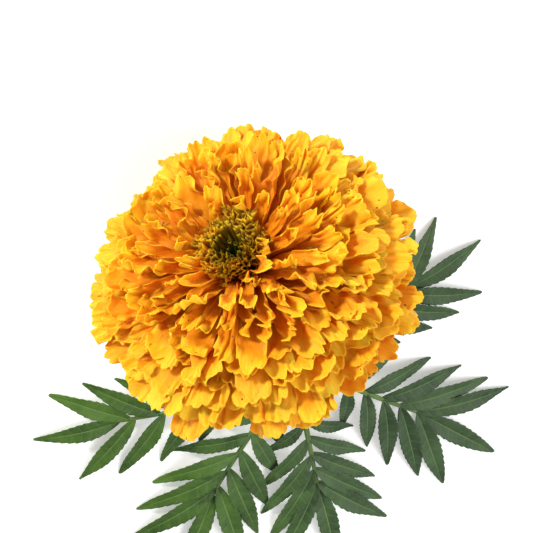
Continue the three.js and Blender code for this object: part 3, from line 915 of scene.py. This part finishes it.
# The rim is notched, and ribs and grooves run up the outside. The pairs are shares of the cup's height.
NOTCHES = (0.55, 1.0)
NOTCH_DEPTH = 3.6
CUP_NOTCH_POWER = 1.3
NOTCHED_OUTSIDE = 7.0  # the receptacle, inside this radius, is whole
TOOTH_SPREAD = 0.35
GROOVES = (0.10, 0.5)
GROOVE_DEPTH = 0.5
GROOVE_POWER = 5
RIBS = (0.05, 0.3)
RIB_HEIGHT = 0.10
RIBS_PER_TOOTH = 4
SKIN_INSET = 0.2


def smooth_profile(corners, count):
    """A smooth line through a profile's corners, evenly stepped."""
    corners = np.array(corners, float)
    steps = np.concatenate([[0], np.cumsum(norm(np.diff(corners, axis=0), axis=1))])
    even = np.linspace(0, steps[-1], count)
    line = np.stack([np.interp(even, steps, corners[:, k]) for k in range(2)], axis=-1)
    for _ in range(count // 4):
        line[1:-1] = (line[:-2] + 2 * line[1:-1] + line[2:]) / 4
    return line


def receptacle_profile():
    """The receptacle's dome, from the cup's floor to its top."""
    dome = [(0, FAN_CENTRE) + receptacle_at(level) * aim(level) for level in DOME_LEVELS]
    return [*dome, (DOME_TOP_RADIUS, FAN_CENTRE + RECEPTACLE_HEIGHT)]


def cup_ring(radius, z, outside, angle):
    """A ring of the cup or of what is inside it, and its grain, which shows the tooth and the height."""
    # The notches of the frame's cup lie at its sides' multiples, counted from +Y.
    tooth = (angle - pi / 2) * CUP_TEETH / tau % 1
    notch = np.abs(tooth - 0.5) * 2
    up = np.clip((z - CUP_BOTTOM) / (CUP_RIM - CUP_BOTTOM), 0, 1)
    teeth = ease(up, *NOTCHES) * (radius > NOTCHED_OUTSIDE)
    ring = radius + 0 * angle
    if outside:
        groove = GROOVE_DEPTH * ease(up, *GROOVES) * (1 - notch**GROOVE_POWER)
        ribs = RIB_HEIGHT * np.cos(RIBS_PER_TOOTH * CUP_TEETH * angle) * ease(up, *RIBS)
        ring = radius + (groove - SKIN_INSET + ribs + TOOTH_SPREAD * teeth * (1 - notch))
    height = z - NOTCH_DEPTH * teeth * notch**CUP_NOTCH_POWER
    points = np.stack([ring * np.cos(angle), ring * np.sin(angle), height], axis=-1)
    return points, np.stack([tooth, up + 0 * angle], axis=-1)


def add_involucre():
    angle = np.linspace(0, tau, SIDES_PER_TOOTH * CUP_TEETH, endpoint=False)
    lining = smooth_profile(CUP_LINING, LINING_STEPS)
    inside = np.concatenate([lining, CUP_FLOOR, receptacle_profile()])
    rings = [cup_ring(radius, z, True, angle) for radius, z in smooth_profile(CUP_PROFILE, PROFILE_STEPS)]
    rings += [cup_ring(radius, z, False, angle) for radius, z in inside]
    points, grain = (np.array(part) for part in zip(*rings))
    shape = Shape()
    shape.add(closed_tube(from_head(points), grain))
    shape.build("involucre_bracts", [CUP_GREEN], "involucre", "involucre")


add_involucre()


# ---- The stem ----
AXIS_LINE = np.array(AXIS)
STEM_RIGHT = np.array([1.0, 0, 0])
STEM_UP = np.cross(STEM_RIGHT, AXIS_LINE)
STEM_TOP = np.array(HEAD_CENTRE) + CUP_BOTTOM * AXIS_LINE
STEM_LENGTH = (STEM_TOP[2] - STEM_RADIUS * cos(face)) / sin(face)
STEM_RINGS = 60
STEM_RIBS = 9
SIDES_PER_RIB = 8
RIB_SHARE = 0.055
RIB_POWER = 3
RIBS_FROM_TOP = (0.0, 0.25)
SKIN_SHARE = 0.03
INTO_CUP = 1.4
INTO_CUP_INSETS = (0.5, 0.93)
# The cut: a crisp skin round a pith that has sunk a little, as each ring's inset and how far it has sunk.
CUT_RINGS = ((0.90, 0.0), (0.80, 0.18), (0.45, 0.35), (0.12, 0.5))
SKIN_GRAIN = 0.98
CUT_GRAIN = 1.02


def stem_point(t):
    bow = np.sin(pi * t) * t
    line = STEM_TOP - AXIS_LINE * (STEM_LENGTH * t)
    return line + np.array([STEM_BOW[0] * bow, 0, -STEM_BOW[1] * bow])


def stem_radius(t):
    return mix(NECK_RADIUS, STEM_RADIUS, ease(t * STEM_LENGTH, 0, NECK_LENGTH))


def add_stem():
    tube = Tube(SIDES_PER_RIB * STEM_RIBS)
    rib = RIB_SHARE * np.cos(STEM_RIBS * tube.angle) ** RIB_POWER
    for inset in INTO_CUP_INSETS:
        tube.add(STEM_TOP + AXIS_LINE * INTO_CUP, STEM_RIGHT, STEM_UP, NECK_RADIUS * inset, 0)
    for t in np.linspace(0, 1, STEM_RINGS):
        radius = stem_radius(t) * (1 - SKIN_SHARE + rib * ease(t, *RIBS_FROM_TOP))
        tube.add(stem_point(t), STEM_RIGHT, STEM_UP, radius, t * SKIN_GRAIN)
    for inset, sunk in CUT_RINGS:
        radius = stem_radius(1.0) * (1 + rib * inset) * inset
        tube.add(stem_point(1.0) + AXIS_LINE * sunk, STEM_RIGHT, STEM_UP, radius, CUT_GRAIN + sunk)
    shape = Shape()
    shape.add(tube.shell())
    shape.build("stem_stalk", [STEM_GREEN], "stem", "stem")


add_stem()


# ---- Leaflets ----
LEAFLET_ROWS = 97
LEAFLET_COLUMNS = 17
LEAFLET_SHAPE = 0.2  # its width, as a share of its length
LEAFLET_FOOT = 0.3
LEAFLET_TIP = 0.12
WIDEST_POWER = 0.8
TAPER_POWER = 0.9
LEAF_THICKNESS = 0.6
LEAF_ARCH = 1.6
FOLD = 0.22

# Its saw teeth rise slowly and fall quickly.
TEETH_PER_SIDE = 12
TOOTH_STAGGER = 0.25
TOOTH_RISE = 0.75
TOOTH_SHARE = 0.10
TOOTH_INSET = 0.03
TEETH_START = (0.10, 0.22)
TEETH_END = (0.93, 1.0)

# The blade is sunk along its side veins and its midrib, and its sides are wavy.
SIDE_VEINS = 9
VEIN_SLANT = 0.55
VEIN_CREST = 0.4
VEIN_DEPTH = 0.10
VEINS_START = (0.03, 0.12)
MIDRIB_DEPTH = 0.22
MIDRIB_BREADTH = 0.28
SIDE_WAVE = 0.35
SIDE_APART = 1.2
BLADE_DEPTH = 0.32
EDGE_DEPTH = 0.16
RIB_DEPTH = 0.25
RIB_BREADTH = 0.3
LEAF_CLEARANCE = 0.08

# What tells one leaflet from another: each trait's middle and spread. The last five draws are spare ones.
LEAFLET_TRAITS = dict(
    bend=(0, 0.05), fold=(1, 0.35), side_waves=(1.6, 0.4), wave_phase=(0, 3), tone=(0.5, 0.5),
    **{f"spare_{number}": (0, 0) for number in range(5)},
)


def leaflet_half_width(u, v, length):
    saw = (u * TEETH_PER_SIDE + TOOTH_STAGGER * np.sign(v)) % 1
    tooth = np.where(saw < TOOTH_RISE, saw / TOOTH_RISE, (1 - saw) / (1 - TOOTH_RISE))
    toothed = ease(u, *TEETH_START) * (1 - ease(u, *TEETH_END))
    lance = np.sin(pi * u**WIDEST_POWER) ** TAPER_POWER
    half = np.where(u >= 1, LEAFLET_TIP, LEAFLET_FOOT + LEAFLET_SHAPE * length / 2 * lance)
    return half * (1 + toothed * (TOOTH_SHARE * tooth - TOOTH_INSET))


def leaflet(root, along, length, source):
    """A leaflet, as its shell and its tone: lance-shaped, saw-edged, folded and puckered."""
    own = draw_traits(source, LEAFLET_TRAITS)
    across = np.array([-along[1], along[0], 0])
    u = np.linspace(0, 1, LEAFLET_ROWS)[:, None]
    v = np.linspace(-1, 1, LEAFLET_COLUMNS)[None, :]
    half = leaflet_half_width(u, v, length)
    side = v * half + length * own.bend * u**2
    height = mix(root[2], LEAF_THICKNESS / 2, ease(u, 0, 1)) + LEAF_ARCH * np.sin(pi * u)
    height = height + FOLD * own.fold * np.abs(v) * half
    veins = np.cos(tau * (u * SIDE_VEINS - VEIN_SLANT * np.abs(v)))
    between = np.abs(v) * (1 - np.abs(v)) * 4
    sunk = VEIN_DEPTH * between * ease(veins, VEIN_CREST, 1.0) * ease(u, *VEINS_START)
    height = height - sunk - MIDRIB_DEPTH * bell(v * half, MIDRIB_BREADTH)
    side_waves = tau * own.side_waves * u + own.wave_phase + SIDE_APART * np.sign(v)
    height = height + SIDE_WAVE * np.abs(v) ** 2 * np.sin(side_waves)
    thickness = mix(BLADE_DEPTH, EDGE_DEPTH, np.abs(v) ** 3) + RIB_DEPTH * bell(v * half, RIB_BREADTH)
    height = np.maximum(height, thickness / 2 + LEAF_CLEARANCE)
    points = root + along * (length * u)[..., None] + across * side[..., None]
    points[..., 2] = height
    uv = np.stack([0.5 + 0.5 * v + 0 * u, u + 0 * v], axis=-1)
    return closed_sheet(points * MM, thickness * MM, uv), own.tone


# ---- Leaves ----
# For each leaf: where it leaves the stem, on which side, its heading, its stalk's length, its longest
# leaflet's length and how far its stalk bends sideways.
LEAVES = {
    "leaf_left": (0.5, 1, 18, 50, 27, -18),
    "leaf_right": (0.54, -1, 163, 38, 27, 8),
    "leaf_lower_left": (0.68, 1, 35, 52, 32, 4),
    "leaf_lower_right": (0.72, -1, 121, 50, 32, 0),
    "leaf_bottom": (0.88, 1, 74, 44, 31, 2),
}
FIRST_LEAF_SEED = 100
LEAFLET_PAIRS = 5
LEAFLETS_STAND = (0.3, 0.92)  # between these shares of the stalk
END_LEAFLET_AT = 0.99
FIRST_LEAFLET = 0.62
LEAFLET_TURN = (60, 36)
PAIR_STAGGER = 0.02

# A stalk leaves the stem straight to its side, with its root in the stem, and then bends to its heading.
STALK_ARCH = 3
STALK_RADIUS = 1.0
STALK_SINKS = (-0.35, 0.95)
STALK_STEPS = 46
STALK_SIDES = 16
ROOT_STEP = -0.9
ROOT_ENDS = 0.04
ROOT_BENDS = 0.12
SLOPE_STEP = 0.01
LEAFLET_SLOPE_STEP = 0.05
STALK_GROOVE = 0.28
STALK_GROOVE_BREADTH = 0.45
STALK_WINGS = 0.12


class Stalk:
    """A leaf's stalk: its middle line, its shell, and where its leaflets stand."""

    def __init__(self, at, side, heading, length, bend):
        self.side = np.array([side, 0, 0.0])
        self.start = stem_point(at) + self.side * (stem_radius(at) + GAP)
        heading = radians(heading)
        ahead = np.array([cos(heading), sin(heading), 0])
        self.ahead = ahead * length
        self.bend = np.array([-ahead[1], ahead[0], 0]) * bend

    def point(self, t):
        point = self.start + self.ahead * t + self.bend * t * t
        arch = STALK_ARCH * sin(pi * min(t, 1))
        point[2] = mix(self.start[2], STALK_RADIUS, ease(t, *STALK_SINKS)) + arch
        return point

    def tangent(self, t):
        """Which way the stalk goes, turning from the stem's side to its own heading at its root."""
        if t <= ROOT_ENDS:
            return self.side
        slope = self.point(t + SLOPE_STEP) - self.point(t - SLOPE_STEP)
        turned = min((t - ROOT_ENDS) / ROOT_BENDS, 1)
        tangent = mix(self.side, slope / norm(slope), turned)
        return tangent / norm(tangent)

    def shell(self):
        tube = Tube(STALK_SIDES)
        # A stalk is grooved along its top and a little winged.
        groove = STALK_GROOVE * bell(tube.angle - pi / 2, STALK_GROOVE_BREADTH)
        shaped = 1 - groove + STALK_WINGS * np.cos(2 * tube.angle)
        for t in [ROOT_STEP, *np.linspace(0, 1, STALK_STEPS)]:
            tangent = self.tangent(t)
            right = np.cross(tangent, [0, 0, 1.0])
            right = right / norm(right)
            middle = self.point(max(t, 0)) + self.side * min(t, 0)
            radius = mix(STALK_RADIUS, STALK_RADIUS / 2, t) * shaped
            tube.add(middle, right, np.cross(right, tangent), radius, t)
        return tube.shell()

    def leaflet_at(self, t, turn):
        """Where a leaflet stands and which way it points, turned from the stalk."""
        root = self.point(t)
        tangent = (root - self.point(t - LEAFLET_SLOPE_STEP)) * (1, 1, 0)
        tangent = tangent / norm(tangent)
        return root, turn_about_z(radians(turn)) @ tangent


def add_leaf(name, at, side, heading, stalk_length, longest, bend, source):
    stalk = Stalk(at, side, heading, stalk_length, bend)
    shape = Shape()
    shape.add(stalk.shell(), slot=1)
    for share in np.linspace(0, 1, LEAFLET_PAIRS):
        t = mix(*LEAFLETS_STAND, share)
        length = longest * mix(FIRST_LEAFLET, 1, sin(pi / 2 * share))
        turn = mix(*LEAFLET_TURN, t)
        shape.add(*leaflet(*stalk.leaflet_at(t, turn), length, source))
        shape.add(*leaflet(*stalk.leaflet_at(t + PAIR_STAGGER, -turn), length, source))
    shape.add(*leaflet(*stalk.leaflet_at(END_LEAFLET_AT, 0), longest, source))
    shape.build(f"{name}_leaflets", [LEAF_GREEN, STALK_GREEN], name, "leaves")


# The leaves are bluer on one side of the stem. The pairs are a dark and a light green.
LEAF_GREENS = [(0.38, (0.022, 0.060, 0.006)), (0.82, (0.066, 0.142, 0.016))]
BLUISH_GREENS = [(0.38, (0.024, 0.054, 0.018)), (0.82, (0.066, 0.120, 0.046))]
BLUISH_FROM = [(0.0, WHITE), (0.04, BLACK)]
SIDE_VEIN_GREEN = (0.075, 0.15, 0.035)
SIDE_VEIN = [(0.80, BLACK), (1.0, WHITE)]
MIDRIB_GREEN = (0.14, 0.24, 0.06)
MIDRIB = [(0.012, WHITE), (0.045, BLACK)]
LEAF_ROUGHNESS = [(0.3, grey(0.46)), (0.7, grey(0.60))]


def leaf_look():
    """A leaflet: dark green, with a paler midrib and side veins, satin above."""
    look = Look("leaf_green")
    blotch = look.noise(look.place, scale=130, detail=4, roughness=0.6)
    mixed = look.plus(blotch, look.times(look.tone, 0.25))
    bluish = look.ramp(look.split(look.place)["X"], BLUISH_FROM)
    base = look.blend(bluish, look.ramp(mixed, LEAF_GREENS), look.ramp(mixed, BLUISH_GREENS))
    # The side veins run forwards from the midrib, in step with the blade's own.
    off = look.compute("ABSOLUTE", look.compute("SUBTRACT", look.across, 0.5))
    slant = look.compute("SUBTRACT", look.times(look.along, SIDE_VEINS), look.times(off, 2 * VEIN_SLANT))
    veins = look.ramp(look.compute("COSINE", look.times(slant, tau)), SIDE_VEIN)
    base = look.blend(look.times(veins, 0.35), base, SIDE_VEIN_GREEN)
    base = look.blend(look.times(look.ramp(off, MIDRIB), 0.75), base, MIDRIB_GREEN)
    roughness = look.ramp(blotch, LEAF_ROUGHNESS)
    look.finish(base, roughness, specular=0.3, subsurface=(0.12, (0.2, 0.7, 0.08), 0.0006))
    look.bump(look.noise(look.place, scale=900, roughness=0.6), distance=0.0003, strength=0.55)
    return look


LEAF_GREEN = leaf_look()
for seed, (leaf_name, leaf_values) in enumerate(LEAVES.items(), FIRST_LEAF_SEED):
    add_leaf(leaf_name, *leaf_values, np.random.default_rng(seed))


# ---- Light and floor ----
FLOOR_HALF = 1.5


def add_floor():
    mesh = bpy.data.meshes.new("floor")
    corners = [(-1, -1, 0), (1, -1, 0), (1, 1, 0), (-1, 1, 0)]
    mesh.from_pydata([Vector(corner) * FLOOR_HALF for corner in corners], [], [(0, 1, 2, 3)])
    floor = bpy.data.objects.new("floor", mesh)
    bpy.context.scene.collection.objects.link(floor)
    material = bpy.data.materials.new("floor")
    material.use_nodes = True
    inputs = material.node_tree.nodes["Principled BSDF"].inputs
    inputs["Base Color"].default_value = (*grey(0.9), 1)
    inputs["Roughness"].default_value = 0.9
    inputs["Emission Color"].default_value = (*WHITE, 1)
    inputs["Emission Strength"].default_value = 0.36
    mesh.materials.append(material)


def add_light(name, towards, distance, size, power, colour):
    """A soft square light, placed by how far right, up and back it stands as the camera sees it."""
    right, up, back = towards
    away = (CAMERA_RIGHT * right + CAMERA_UP * up + BACK * back).normalized()
    data = bpy.data.lights.new(name, "AREA")
    data.size = size
    data.energy = power
    data.color = colour
    light = bpy.data.objects.new(name, data)
    light.location = Vector(HEAD_CENTRE) * MM + away * distance
    light.rotation_mode = "QUATERNION"
    light.rotation_quaternion = away.to_track_quat("Z", "Y")
    bpy.context.scene.collection.objects.link(light)


def add_world():
    world = bpy.data.worlds.new("studio")
    world.use_nodes = True
    background = world.node_tree.nodes["Background"]
    background.inputs["Color"].default_value = (*WHITE, 1)
    background.inputs["Strength"].default_value = 0.52
    bpy.context.scene.world = world


add_floor()
add_light("key", (-0.56, 0.34, 0.75), distance=0.9, size=0.10, power=8.1, colour=(1.0, 0.985, 0.95))
add_light("fill", (0.8, -0.4, 0.55), distance=1.1, size=0.9, power=9.5, colour=(0.98, 0.99, 1.0))
add_world()
bpy.context.scene.view_settings.view_transform = "Standard"
